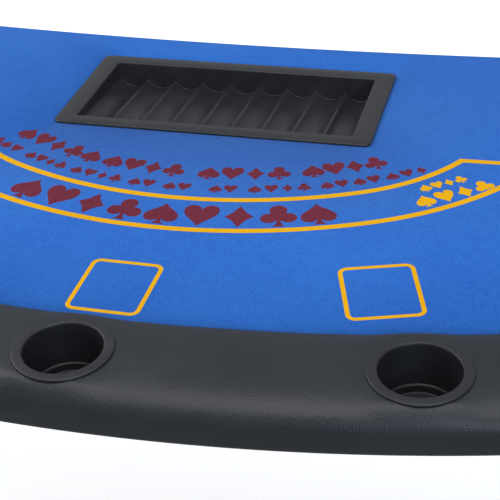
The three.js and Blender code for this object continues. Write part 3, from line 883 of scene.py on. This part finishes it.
def makeRailEnds(size, skin, endY):
    # a sewn cap closes each end of the rail, rounded over towards the dealer
    outline = skin + [Vector((plan["railWidth"], skin[-1].y))]
    for word, side in (("left", -1), ("right", 1)):
        rings = [(endY + 0.3 * mm, outline)]
        for i in range(7):
            turn = math.radians(15 * i)
            shrink = size["endRound"] * (1 - math.cos(turn))
            y = plan["halfDepth"] - size["endRound"] * (1 - math.sin(turn))
            rings.append((y, offsetLoop(outline, shrink) if i else outline))
        rows = [[Vector((side * (plan["halfWidth"] - p.x), y, clothTop + p.y)) for p in ring] for y, ring in rings]
        cap = loft("rail_end_" + word, rows)
        recalculate(cap)
        layer = cap.data.uv_layers.new(name="skin")
        for loop in cap.data.loops:
            spot = cap.data.vertices[loop.vertex_index].co
            layer.data[loop.index].uv = (spot.x + spot.y, spot.z - clothTop)
        smooth(cap, 40)
        keep(cap, top, "leatherette", materials["leatherette"])


makeRail(rail)


# the cup holders
def makeCups():
    inner = 38.8 * mm
    floor = cups[0][0][2]
    low = [(0, 2.0), (33.0, 2.0), (34.2, 2.3), (34.6, 3.2), (35.0, 9), (35.6, 10), (37.0, 10.4), (37.4, 11.2)]
    mouth = [(-0.6, -12), (0, -3.0), (0.25, -1.4), (0.8, -0.5), (1.6, -0.1), (2.4, 0)]
    lip = [(42.4, 0), (47.6, 0), (48.4, -0.06), (49.2, -0.35), (49.8, -0.9), (50.0, -1.6), (49.7, -2.0), (48.0, -1.9)]
    neck = [(41.0, -2.0), (40.8, -20)]
    foot = [(39.4, 10), (37.0, 8.4), (36.6, 1.0), (35.6, 0), (0, 0)]
    profile = [(r * mm, floor + z * mm) for r, z in low]
    profile += [(inner + r * mm, cupTop + z * mm) for r, z in mouth]
    profile += [(r * mm, cupTop + z * mm) for r, z in lip + neck]
    profile += [(r * mm, floor + z * mm) for r, z in foot]
    for i, place in enumerate(cupPlaces):
        node = f"cup_holder_{i + 1}"
        cup = makeTurned(node + "_shell", profile, (place.x, place.y, 0), sides=96, sharpAngle=60)
        keep(cup, node, "cup_plastic", materials["cup"], node)
    print("cups made")


makeCups()


# the chip tray
tray = {"width": 414 * mm, "depth": 202 * mm, "corner": 9 * mm, "wall": 2.2 * mm, "channels": 9, "pitch": 40.2 * mm,
        "radius": 22 * mm, "wellWidth": 361.8 * mm, "wellDepth": 160 * mm, "crestFront": -5 * mm,
        "crestBack": -19 * mm, "ridge": 11.0 * mm, "round": 2.8 * mm}


def troughDepth(x, size):
    # how far the floor lies under the ridges, with a round bead where two troughs meet
    radius = size["radius"]
    rise = math.sqrt(radius ** 2 - (size["pitch"] / 2) ** 2)
    last = (size["channels"] - 1) / 2
    nearest = round(x / size["pitch"])
    depths = []
    for step in (nearest - 1, nearest, nearest + 1):
        off = abs(x - step * size["pitch"])
        if abs(step) > last:
            depths.append(-1.0)
        elif off < radius * 0.94:
            depths.append(math.sqrt(radius ** 2 - off ** 2) - rise)
        else:
            depths.append(math.sqrt(radius ** 2 - (radius * 0.94) ** 2) - rise - (off - radius * 0.94) * 2.7)
    depths.sort()
    near = max(0.0, 1 - (depths[2] - depths[1]) / size["ridge"])
    return max(0.0, depths[2] + near * near * size["ridge"] / 4)


def makeTray(size):
    across = size["channels"] * 36
    along = 40
    halfX = size["wellWidth"] / 2
    halfY = size["wellDepth"] / 2
    flangeTop = trayHigh[2]
    vertices = []
    for j in range(along + 1):
        y = -halfY + 2 * halfY * j / along
        crest = clothTop + size["crestFront"] + (size["crestBack"] - size["crestFront"]) * j / along
        for i in range(across + 1):
            x = -halfX + 2 * halfX * i / across
            vertices.append(Vector((x, trayY + y, crest - troughDepth(x, size))))
    row = across + 1
    lines = [list(range(j * row, (j + 1) * row)) for j in range(along + 1)]
    faces = [face for first, second in zip(lines, lines[1:]) for face in stitch(first, second, False)]
    edge = [i for i in range(row)] + [j * row + across for j in range(1, along + 1)]
    edge += [along * row + i for i in range(across - 1, -1, -1)] + [j * row for j in range(along - 1, 0, -1)]
    # walls up from the floor's edge, over a small radius, out across the flange and down its rim
    lips = [(0.0, -2.2), (0.35, -1.0), (1.1, -0.25), (2.2, 0.0)]
    rings = [edge]
    for out, height in lips:
        spots = [wellPoint(vertices[i], halfX, halfY, out * mm) for i in edge]
        rings.append(addRing(vertices, spots, flangeTop + height * mm))
    rims = [(1.6, 0.0), (0.7, -0.25), (0.12, -0.9), (0.0, -1.6), (0.0, -2.7)]
    for inset, height in rims:
        spots = [rimPoint(vertices[i], size, inset * mm) for i in edge]
        rings.append(addRing(vertices, spots, flangeTop + height * mm))
    for inner, outer in zip(rings, rings[1:]):
        faces += stitch(inner, outer)
    piece = makePiece("chip_tray_shell", vertices, faces, 40)
    mesh = bmesh.new()
    mesh.from_mesh(piece.data)
    faceUp(mesh)
    mesh.to_mesh(piece.data)
    mesh.free()
    rounding = piece.modifiers.new("round", "BEVEL")
    rounding.width = size["round"]
    rounding.segments = 3
    rounding.limit_method = "ANGLE"
    rounding.angle_limit = math.radians(40)
    solidify = piece.modifiers.new("wall", "SOLIDIFY")
    solidify.thickness = size["wall"]
    solidify.offset = -1
    bpy.context.view_layer.update()
    piece = bake(piece)
    smooth(piece, 50)
    keep(piece, "chip_tray", "tray_plastic", materials["tray"], "chip_tray")
    print("tray made")


def addRing(vertices, spots, height):
    first = len(vertices)
    vertices += [Vector((x, y, height)) for x, y in spots]
    return list(range(first, len(vertices)))


def wellPoint(point, halfX, halfY, out):
    x = point.x * (halfX + out) / halfX
    y = (point.y - trayY) * (halfY + out) / halfY
    return x, trayY + y


def rimPoint(point, size, inset):
    # carries a point on the well's edge out to the tray's rounded outline
    halfX = size["width"] / 2 - inset
    halfY = size["depth"] / 2 - inset
    radius = size["corner"] - inset * 0.5
    x = point.x * size["width"] / size["wellWidth"] * halfX / (size["width"] / 2)
    y = (point.y - trayY) * size["depth"] / size["wellDepth"] * halfY / (size["depth"] / 2)
    cornerX = halfX - radius
    cornerY = halfY - radius
    if abs(x) > cornerX and abs(y) > cornerY:
        away = Vector((abs(x) - cornerX, abs(y) - cornerY))
        away = away.normalized() * radius
        x = math.copysign(cornerX + away.x, x)
        y = math.copysign(cornerY + away.y, y)
    return x, trayY + y


makeTray(tray)


# rows of copies
def copiesTree():
    # puts one shape at every vertex of the piece's own mesh
    sockets = [("Geometry", "Geometry"), ("Shape", "Object"), ("Turn", "Float")]
    tree, source, result = modifierGroup("copiesAtPoints", sockets)
    shape = addNode(tree, "GeometryNodeObjectInfo", {"Object": source["Shape"]}).outputs["Geometry"]
    index = addNode(tree, "GeometryNodeInputIndex").outputs[0]
    turn = addNode(tree, "ShaderNodeCombineXYZ", {"Z": addMath(tree, "MULTIPLY", index, source["Turn"])}).outputs[0]
    values = {"Points": source["Geometry"], "Instance": shape, "Rotation": turn}
    return finishCopies(tree, addNode(tree, "GeometryNodeInstanceOnPoints", values), source["Material"], result)


copyMaker = copiesTree()


def makeCopies(name, shape, points, materialName, turn=0.0):
    data = bpy.data.meshes.new(name)
    data.from_pydata([tuple(p) for p in points], [], [])
    values = {"Shape": shape, "Turn": turn, "Material": materials[materialName]}
    result = runGroup(addObject(name, data), copyMaker, values)
    bpy.data.objects.remove(shape)
    smooth(result, 30)
    return result


# screws, bolts, pins
screw = {"head": 4.5 * mm, "height": 2.6 * mm, "recess": 2.4 * mm, "slot": 0.5 * mm, "depth": 1.3 * mm}
bolt = {"across": 11.2 * mm, "height": 4.0 * mm, "chamfer": 0.9 * mm}
pinHead = {"radius": 7.0 * mm, "height": 2.4 * mm}


def makeScrewHead(size):
    # a pan head facing down, with a cross recess, seated at height 0
    radius, height = size["head"], size["height"]
    shares = [(0, 1), (0.45, 0.97), (0.78, 0.78), (0.95, 0.45), (1, 0.15), (1, 0), (0, 0)]
    profile = [(radius * out, -height * down) for out, down in shares]
    head = makeTurned("screw_shape", profile, (0, 0, 0), sides=24)
    cutter = bmesh.new()
    for width, depth in ((size["recess"], size["slot"]), (size["slot"], size["recess"])):
        scale = Matrix.Diagonal((2 * width, 2 * depth, 2 * size["depth"], 1))
        bmesh.ops.create_cube(cutter, size=1, matrix=Matrix.Translation((0, 0, -height)) @ scale)
    return subtract(head, cutter, crossing=True)


def makeHexHead(size):
    radius = size["across"] / math.sqrt(3)
    head = makePlate("bolt_shape", [circleLoop((0, 0), radius, 6)], -size["height"], 0)
    bevel = head.modifiers.new("chamfer", "BEVEL")
    bevel.width = size["chamfer"]
    bevel.segments = 2
    bpy.context.view_layer.update()
    return bake(head)


def makeFasteners():
    kinds = (("screws", "_screw_", makeScrewHead, screw, screw["height"] + 0.1 * mm, 0.7),
             ("rail_bolts", "rail_bolt_", makeHexHead, bolt, bolt["height"], 0.45))
    for name, word, makeHead, size, rise, turn in kinds:
        nodes = sorted(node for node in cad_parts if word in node)
        points = [(*middleOf(node)[:2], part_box(node)[0][2] + rise) for node in nodes]
        keep(makeCopies(name, makeHead(size), points, "zinc", turn), top, "zinc", materials["zinc"], *nodes)


makeFasteners()


def makePin(name, node, body, headFront):
    # a domed head at one end, a peened end at the other
    low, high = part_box(node)
    x, z = middleOf(node)[::2]
    length = high[1] - low[1]
    radius, height = pinHead["radius"], pinHead["height"]
    dome = [(0, 0), (0.5, 0.08), (0.85, 0.35), (1, 0.75), (1, 1)]
    head = [(radius * out, height * up) for out, up in dome]
    shank = [(4 * mm, height), (4 * mm, length - 0.8 * mm), (3.2 * mm, length), (0, length)]
    start, axis = ((x, low[1], z), "Y") if headFront else ((x, high[1], z), "-Y")
    pin = makeTurned(name, head + shank, start, axis, 40, sharpAngle=45)
    keep(pin, body, "zinc", materials["zinc"], node)


# the leg frames
leg = {"tube": 12.5 * mm, "wall": 1.5 * mm, "bar": 10 * mm, "bead": 1.7 * mm, "chamfer": 0.4 * mm,
       "plugLip": 1.2 * mm, "footRings": 4, "footFloor": 9.7 * mm}
lug = {"eye": 9 * mm, "thickness": 4 * mm, "bevel": 0.5 * mm, "gap": 0.5 * mm}
link = {"eye": 8 * mm, "bore": 4.3 * mm, "bevel": 0.6 * mm, "gap": 0.75 * mm}
bracket = {"thickness": 3 * mm, "corner": 4 * mm, "screwHole": 2.8 * mm, "overlap": 1.5 * mm, "bevel": 0.4 * mm}
hingeEar = {"eye": 19 * mm, "toe": 21 * mm, "shoulder": 5 * mm, "bore": 13.0 * mm, "steps": 36, "sides": 48}
braceEar = {"eye": 9 * mm, "toe": 10.5 * mm, "shoulder": 4 * mm, "bore": 4.3 * mm, "steps": 24, "sides": 32}


def lyingTube(name, x, z, y0, y1, radius, wall, sides=48):
    length = y1 - y0
    chamfer = leg["chamfer"]
    profile = [(radius - wall, 0), (radius - chamfer, 0), (radius, chamfer), (radius, length - chamfer),
               (radius - chamfer, length), (radius - wall, length)]
    return makeTurned(name, profile, (x, y0, z), "Y", sides, closed=True)


def makeBead(name, path, radius, ripples):
    # a weld: a thin ring of metal along a closed path, rippled along its length
    vertices = []
    count = len(path)
    sides = 8
    for i, point in enumerate(path):
        ahead = (path[(i + 1) % count] - path[i - 1]).normalized()
        side = ahead.cross(Vector((0.31, 0.22, 0.92))).normalized()
        up = ahead.cross(side)
        swell = radius * (1 + 0.16 * math.sin(2 * math.pi * ripples * i / count))
        for k in range(sides):
            angle = 2 * math.pi * k / sides
            vertices.append(point + (side * math.cos(angle) + up * math.sin(angle)) * swell)
    rings = [list(range(i * sides, (i + 1) * sides)) for i in range(count)]
    faces = [face for first, second in zip(rings, rings[1:] + rings[:1]) for face in stitch(first, second)]
    bead = makePiece(name, vertices, faces)
    recalculate(bead)
    smooth(bead, 60)
    return bead


def makePlugs(name, x, z, y0, y1):
    # a pressed-in cap at each end of the hinge tube
    inner, outer = leg["tube"] - leg["wall"], leg["tube"]
    lip = leg["plugLip"]
    cap = [(0, 0), (outer * 0.6, 0.1 * mm), (outer - 0.8 * mm, 0.5 * mm), (outer - 0.2 * mm, 1.3 * mm),
           (outer - 0.2 * mm, lip), (inner, lip), (inner - 0.3 * mm, 9 * mm), (0, 9 * mm)]
    ends = ((y0 - lip, "Y"), (y1 + lip, "-Y"))
    return joinPieces(name, [makeTurned("plug", cap, (x, y, z), axis, 40) for y, axis in ends])


def saddlePath(middle, steps=96):
    # where a leg tube meets the underside of the hinge tube
    x, y, z = middle
    reach = leg["tube"] + 0.4 * mm
    path = []
    for i in range(steps):
        angle = 2 * math.pi * i / steps
        drop = leg["tube"] * abs(math.sin(angle))
        path.append(Vector((x + reach * math.cos(angle), y + reach * math.sin(angle), z - drop)))
    return path


def ringPath(middle, towards, steps=80):
    # where the crossbar meets a leg tube, on the side it comes from
    x, y, z = middle
    reach = leg["bar"] + 0.3 * mm
    path = []
    for i in range(steps):
        angle = 2 * math.pi * i / steps
        across = reach * math.cos(angle)
        out = towards * math.sqrt(leg["tube"] ** 2 - across ** 2)
        path.append(Vector((x + across, y + out, z + reach * math.sin(angle))))
    return path


def makeLeg(word):
    body = "leg_" + word
    steel = materials["blackSteel"]
    hingeLow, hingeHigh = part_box("hinge_tube_" + word)
    x, hingeZ = middleOf("hinge_tube_" + word)[::2]
    barZ = middleOf("crossbar_" + word)[2]
    radius, wall = leg["tube"], leg["wall"]
    keep(lyingTube("hinge_shaft_" + word, x, hingeZ, hingeLow[1], hingeHigh[1], radius, wall),
         body, "black_steel", steel, "hinge_tube_" + word)
    keep(makePlugs("hinge_plugs_" + word, x, hingeZ, hingeLow[1], hingeHigh[1]), body, "rubber", materials["rubber"])
    welds = []
    for end in ("front", "rear"):
        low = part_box(f"leg_tube_{word}_{end}")[0]
        y = middleOf(f"leg_tube_{word}_{end}")[1]
        length = hingeZ - low[2]
        profile = [(radius - wall, 0), (radius - 0.3 * mm, 0), (radius, 0.3 * mm), (radius, length),
                   (radius - wall, length)]
        tube = makeTurned(f"leg_post_{word}_{end}", profile, (x, y, low[2]), "Z", 48, closed=True)
        keep(tube, body, "black_steel", steel, f"leg_tube_{word}_{end}")
        towards = 1 if end == "front" else -1
        welds.append(makeBead("weld", saddlePath((x, y, hingeZ)), leg["bead"], 24))
        welds.append(makeBead("weld", ringPath((x, y, barZ), towards), leg["bead"], 20))
        makeFoot(word, end, body)
    keep(joinPieces("welds_" + word, welds), body, "black_steel", steel)
    makeCrossbar(word, body, x, barZ)
    for end in ("front", "rear"):
        low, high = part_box(f"hinge_bracket_{word}_{end}")
        starts = (low[1], high[1] - bracket["thickness"])
        makeBracket(f"hinge_bracket_{word}_{end}", f"hinge_screw_{word}_{end}_", (x, hingeZ), hingeEar, starts)
    makeBraces(word)


def makeFoot(word, end, body):
    node = f"foot_{word}_{end}"
    low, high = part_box(node)
    radius = (high[0] - low[0]) / 2
    height = high[2]
    socket = leg["tube"] + 0.3 * mm
    profile = [(0, 0), (radius - 5 * mm, 0), (radius - 1.2 * mm, 0.0), (radius - 0.3 * mm, 0.5 * mm),
               (radius, 1.6 * mm)]
    for i in range(leg["footRings"]):
        z = (6 + 5 * i) * mm
        shrink = radius - 0.15 * mm * (i + 1)
        profile += [(shrink, z), (shrink - 0.7 * mm, z + 0.6 * mm), (shrink - 0.7 * mm, z + 1.6 * mm),
                    (shrink, z + 2.2 * mm)]
    profile += [(radius - 1 * mm, height - 1.5 * mm), (radius - 1.6 * mm, height - 0.4 * mm),
                (radius - 2.4 * mm, height), (socket + 0.3 * mm, height), (socket, height - 0.4 * mm),
                (socket, leg["footFloor"]), (0, leg["footFloor"])]
    foot = makeTurned(node + "_cap", profile, ((low[0] + high[0]) / 2, (low[1] + high[1]) / 2, 0), "Z", 56)
    keep(foot, body, "rubber", materials["rubber"], node)


def strapLoop(start, end, radius, steps=14):
    along = math.degrees(math.atan2(end[1] - start[1], end[0] - start[0]))
    return arc(end, radius, along - 90, along + 90, steps) + arc(start, radius, along + 90, along + 270, steps)


def uprightPlate(name, loops, y0, y1, bevel):
    # an outline in (x, z), standing between two depths
    turn = Matrix.Rotation(math.pi / 2, 4, "X")
    return makePlate(name, loops, -y1, -y0, bevel, turn)


def makeCrossbar(word, body, x, barZ):
    node = "crossbar_" + word
    y0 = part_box(f"leg_tube_{word}_front")[1][1] - 2 * mm
    y1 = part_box(f"leg_tube_{word}_rear")[0][1] + 2 * mm
    bar = lyingTube("bar", x, barZ, y0, y1, leg["bar"], leg["wall"], 40)
    pivotX = middleOf("lug_pin_" + word)[0]
    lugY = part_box("lower_brace_" + word)[1][1] + lug["gap"]
    loops = [strapLoop((x, barZ), (pivotX, barZ), lug["eye"]), circleLoop((pivotX, barZ), link["bore"], 32)]
    tab = uprightPlate("lug", loops, lugY, lugY + lug["thickness"], lug["bevel"])
    keep(joinPieces(node + "_tube", [bar, tab]), body, "black_steel", materials["blackSteel"], node)
    makePin("lug_pin_dome_" + word, "lug_pin_" + word, body, False)


def makeBracket(node, screws, pivot, ear, starts):
    # a plate screwed under the board, with two ears standing down from it round a pivot
    low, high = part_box(node)
    x, y = middleOf(node)[:2]
    loops = [roundedLoop(high[0] - low[0], high[1] - low[1], bracket["corner"], (x, y))]
    loops += [circleLoop(middleOf(screws + str(i)), bracket["screwHole"], 24) for i in (1, 2)]
    parts = [makePlate("base", loops, high[2] - bracket["thickness"], high[2], bracket["bevel"])]
    corners = ((ear["eye"], ear["shoulder"]), (ear["toe"], bracket["overlap"]))
    for start in starts:
        outline = arc(pivot, ear["eye"], 180, 360, ear["steps"])
        outline += [Vector((x + out, high[2] - drop)) for out, drop in corners]
        outline += [Vector((x - out, high[2] - drop)) for out, drop in reversed(corners)]
        loops = [outline, circleLoop(pivot, ear["bore"], ear["sides"])]
        parts.append(uprightPlate("ear", loops, start, start + bracket["thickness"], bracket["bevel"]))
    keep(joinPieces(node + "_plate", parts), top, "black_steel", materials["blackSteel"], node)


def makeBraces(word):
    zinc = materials["zinc"]
    middle = [middleOf(node + word)[::2] for node in ("brace_pin_", "elbow_rivet_", "lug_pin_")]
    for node, ends, holes in (("upper_brace_", (0, 1), (0, 1)), ("lower_brace_", (1, 2), (2,))):
        low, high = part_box(node + word)
        loops = [strapLoop(middle[ends[0]], middle[ends[1]], link["eye"], 18)]
        loops += [circleLoop(middle[i], link["bore"], 32) for i in holes]
        strap = uprightPlate(node + word + "_strap", loops, low[1], high[1], link["bevel"])
        keep(strap, node + word, "zinc", zinc, node + word)
    makePin("elbow_rivet_dome_" + word, "elbow_rivet_" + word, "upper_brace_" + word, True)
    makePin("brace_pin_dome_" + word, "brace_pin_" + word, top, True)
    low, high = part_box("upper_brace_" + word)
    starts = (low[1] - link["gap"] - bracket["thickness"], high[1] + link["gap"])
    makeBracket("brace_bracket_" + word, f"brace_screw_{word}_", middle[0], braceEar, starts)


for word in ("left", "right"):
    makeLeg(word)
print("legs made")


# staples under the cloth's turned-in edge at the dealer's side
staple = {"crown": 10 * mm, "wire": 0.9 * mm, "height": 0.5 * mm, "pitch": 0.045, "foldShare": 0.62, "margin": 0.03}


def makeStaples(size):
    outline = roundedLoop(size["crown"], size["wire"], 0.3 * mm)
    crown = makePlate("staple_shape", [outline], -size["height"], 0.0, 0.15 * mm)
    points = []
    foldY = cloth["foldUnder"] * size["foldShare"]
    z = boardLow[2] - cloth["under"]
    reach = plan["halfWidth"] - plan["railWidth"] - size["margin"]
    count = round(2 * reach / size["pitch"])
    for i in range(count + 1):
        x = -reach + 2 * reach * i / count
        points.append((x, dealerY(x) + 2 * mm - foldY, z))
    keep(makeCopies("cloth_staples", crown, points, "zinc"), top, "zinc", materials["zinc"])


makeStaples(staple)


# carried-over boards
def paint(node, material):
    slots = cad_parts[node].material_slots
    for slot in slots:
        slot.link = "OBJECT"
        slot.material = material


for node in ("table_board", "rail_base", "leg_board_left", "leg_board_right"):
    paint(node, materials["plywood"])
paint("foam_underlay", materials["foam"])


# floor and light
def makeStudio():
    floor = makePiece("floor", [(-30, -30, 0), (30, -30, 0), (30, 30, 0), (-30, 30, 0)], [(0, 1, 2, 3)])
    pale = {"Roughness": 0.9, "Base Color": (0.93, 0.93, 0.93, 1)}
    glow = {"Emission Color": (1, 1, 1, 1), "Emission Strength": 0.5}
    floor.data.materials.append(newMaterial("paleFloor", {**pale, **glow})[0])
    # the object isn't lit from below by the floor, and doesn't mirror it
    floor.visible_diffuse = False
    floor.visible_glossy = False
    world = bpy.data.worlds.new("studio")
    world.use_nodes = True
    background = world.node_tree.nodes["Background"].inputs
    background["Color"].default_value = (0.88, 0.94, 1.0, 1)
    background["Strength"].default_value = 0.5
    scene.world = world
    # each lamp: its name, place, width, power and colour
    white, cool = (1.0, 1.0, 1.0), (0.70, 0.82, 1.0)
    lamps = (("key", (-2.5, 0.5, 2.7), 1.8, 36.0, white), ("front", (2.0, -2.8, 2.2), 1.1, 38.0, cool),
             ("fill", (0.2, -0.5, 3.4), 2.6, 50.0, white))
    target = Vector((0.1, -0.1, 0.75))
    for name, place, width, power, colour in lamps:
        data = bpy.data.lights.new(name, "AREA")
        data.size = width
        data.energy = power
        data.color = colour
        turn = (target - Vector(place)).to_track_quat("-Z", "Y").to_matrix().to_4x4()
        addObject(name, data).matrix_world = Matrix.Translation(place) @ turn
    scene.view_settings.view_transform = "Standard"


makeStudio()
